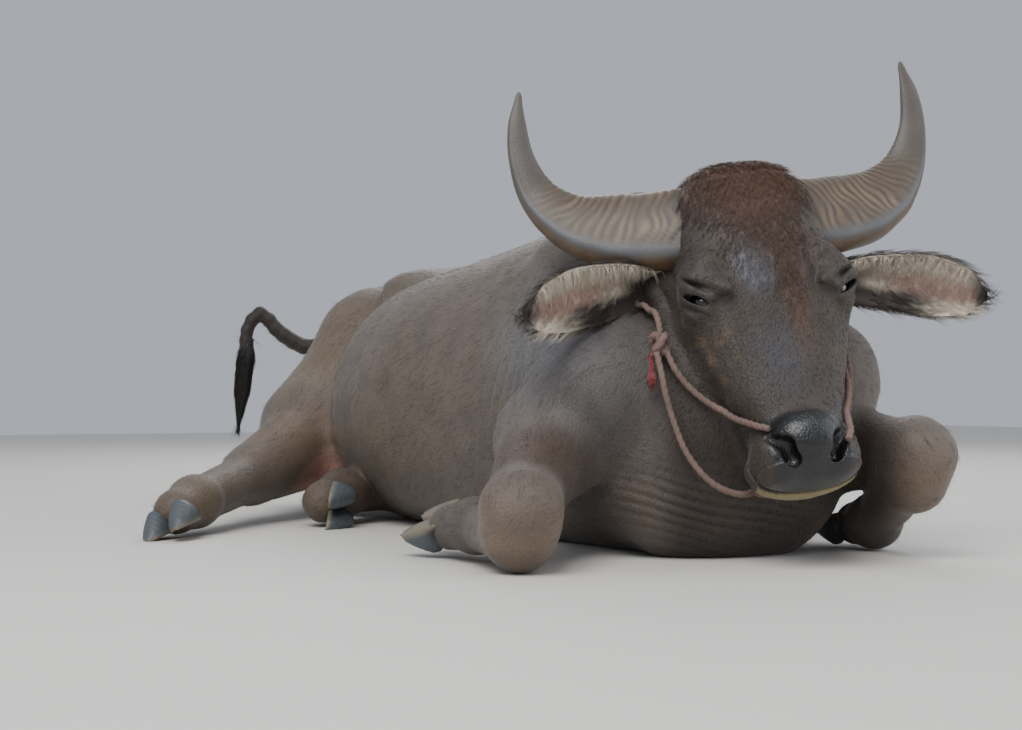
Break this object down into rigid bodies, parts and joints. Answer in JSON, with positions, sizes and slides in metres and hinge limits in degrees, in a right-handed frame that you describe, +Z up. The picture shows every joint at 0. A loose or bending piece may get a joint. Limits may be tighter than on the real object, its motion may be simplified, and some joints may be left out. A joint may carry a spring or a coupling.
{
  "type": "resting water buffalo",
  "caption": "Young adult water buffalo resting on its breastbone, head up and turned a little, wearing a rope halter.",
  "frame": {"origin": "on the floor under the brisket, at the flat where the breast rests", "axes": "+Y towards the rump along the trunk, +X to the animal's left, +Z up"},
  "size_m": [1.1829, 1.8292, 0.7667],
  "materials": {
    "ear_hide": "pale hair inside, dark outside",
    "eye": "wet, nearly black",
    "hoof": "blue-grey horn with a worn edge",
    "leg_hide": "brown hide, worn and dusty",
    "rope": "worn fibre rope, grey-pink",
    "tassel": "dark red tuft",
    "hide": "dull dark grey-brown hide with a sparse coat",
    "horn": "ridged horn, satin at the tips",
    "switch_hair": "dark coarse hair"
  },
  "bodies": {
    "root": {"ear_left": "ear_hide", "ear_right": "ear_hide", "eye_left": "eye", "eye_right": "eye", "foreleg_left_claw_inner": "hoof", "foreleg_left_claw_outer": "hoof", "foreleg_left_lower": "leg_hide", "foreleg_left_upper": "leg_hide", "foreleg_right_claw_inner": "hoof", "foreleg_right_claw_outer": "hoof", "foreleg_right_lower": "leg_hide", "foreleg_right_upper": "leg_hide", "halter_headstall": "rope", "halter_knot": "rope", "halter_neck_loop": "rope", "halter_rope_left": "rope", "halter_rope_right": "rope", "halter_tassel": "tassel", "head": "hide", "hindleg_left_claw_inner": "hoof", "hindleg_left_claw_outer": "hoof", "hindleg_left_lower": "leg_hide", "hindleg_left_upper": "leg_hide", "hindleg_right_claw_inner": "hoof", "hindleg_right_claw_outer": "hoof", "hindleg_right_lower": "leg_hide", "hindleg_right_upper": "leg_hide", "horn_left": "horn", "horn_right": "horn", "neck": "hide", "tail": "hide", "tail_switch": "switch_hair", "torso": "hide"}
  },
  "joints": []
}
